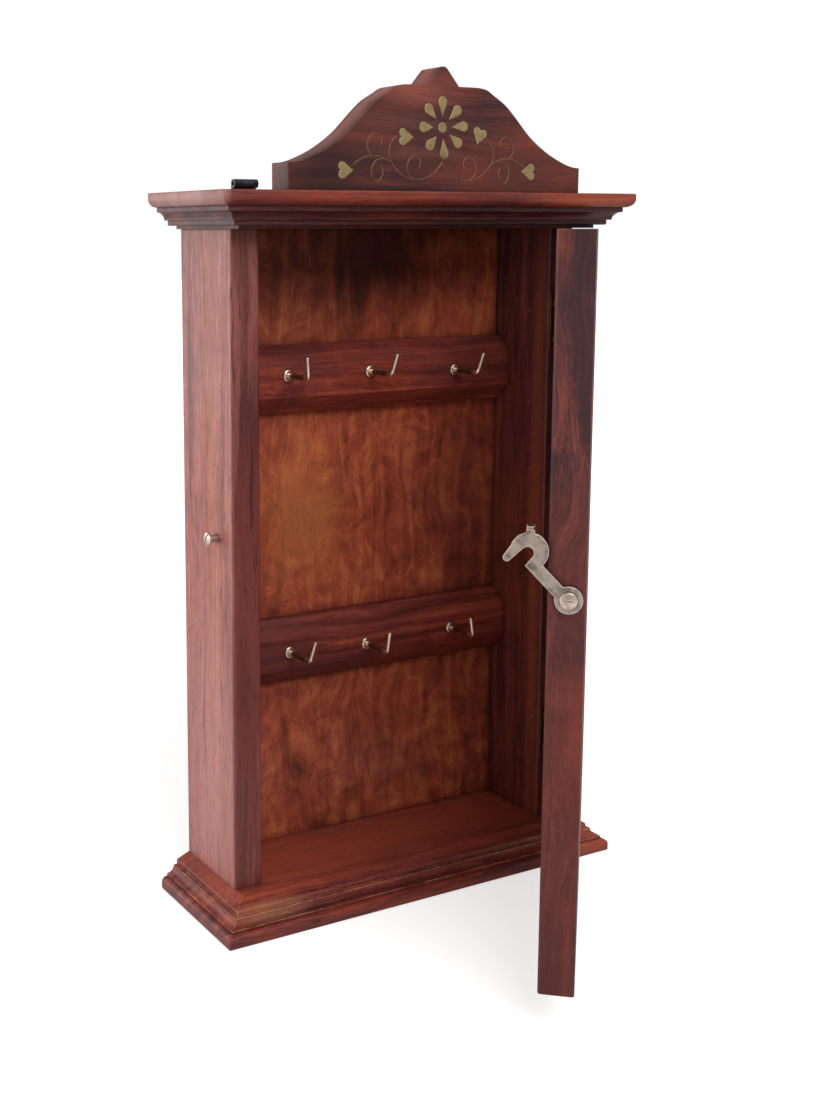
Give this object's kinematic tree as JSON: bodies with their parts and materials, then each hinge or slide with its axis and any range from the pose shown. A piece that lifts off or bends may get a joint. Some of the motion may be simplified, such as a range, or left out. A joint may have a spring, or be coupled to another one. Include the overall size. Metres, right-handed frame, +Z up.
{
  "type": "key cabinet",
  "caption": "Small rosewood wall or shelf cabinet for keys: moulded plinth and cornice, brass-inlaid crest, two rails of brass hooks, and a hinged door with a swing-hook latch.",
  "frame": {"origin": "middle of the plinth's underside", "axes": "+Z up, +Y to the wall, +X to the hinged side; the door stands open 48.5 degrees at rest"},
  "size_m": [0.2064, 0.1888, 0.3605],
  "materials": {
    "rosewood": "satin varnish over reddish-brown rosewood",
    "veneer": "satin varnish over orange-brown veneer",
    "brass": "polished",
    "inlay_brass": "filed flush, dulled",
    "aged_brass": "tarnished grey, bright on its edges",
    "black_steel": "black japanned",
    "steel": "zinc plated"
  },
  "bodies": {
    "cabinet": {"plinth_base": "rosewood", "plinth_moulding": "rosewood", "cornice_bed": "rosewood", "cornice_cap": "rosewood", "left_side": "rosewood", "right_side": "rosewood", "back_panel": "veneer", "crest": "rosewood", "crest_dowels": "rosewood", "inlay_flower": "inlay_brass", "inlay_hearts": "inlay_brass", "inlay_vines": "inlay_brass", "upper_key_rail": "rosewood", "lower_key_rail": "rosewood", "upper_hook_left": "brass", "upper_hook_middle": "brass", "upper_hook_right": "brass", "lower_hook_left": "brass", "lower_hook_middle": "brass", "lower_hook_right": "brass", "catch_screw": "aged_brass", "cabinet_leaf_upper": "brass", "cabinet_leaf_lower": "brass", "hinge_pin_upper": "brass", "hinge_pin_lower": "brass", "cabinet_hinge_screws": "brass", "hanger_left": "black_steel", "hanger_right": "black_steel", "hanger_screws": "black_steel", "plinth_screws": "steel", "cornice_screws": "steel", "rail_screws": "steel", "back_panel_pins": "steel"},
    "door": {"door_latch_stile": "rosewood", "door_hinge_stile": "rosewood", "door_top_rail": "rosewood", "door_bottom_rail": "rosewood", "door_panel": "rosewood", "door_leaf_upper": "brass", "door_leaf_lower": "brass", "door_hinge_screws": "brass", "latch_screw": "aged_brass"},
    "latch": {"latch_hook": "aged_brass"}
  },
  "joints": [
    {"name": "door_swing", "type": "hinge", "parent": "cabinet", "child": "door", "pos_m": [0.085, -0.01255, 0.155], "axis": [0, 0, 1], "range_deg": [-48.5, 76.5]},
    {"name": "latch_swing", "type": "hinge", "parent": "door", "child": "latch", "pos_m": [-0.02496, -0.14839, 0.1654], "axis": [0.6626, 0.749, 0], "range_deg": [-46, 134]}
  ]
}
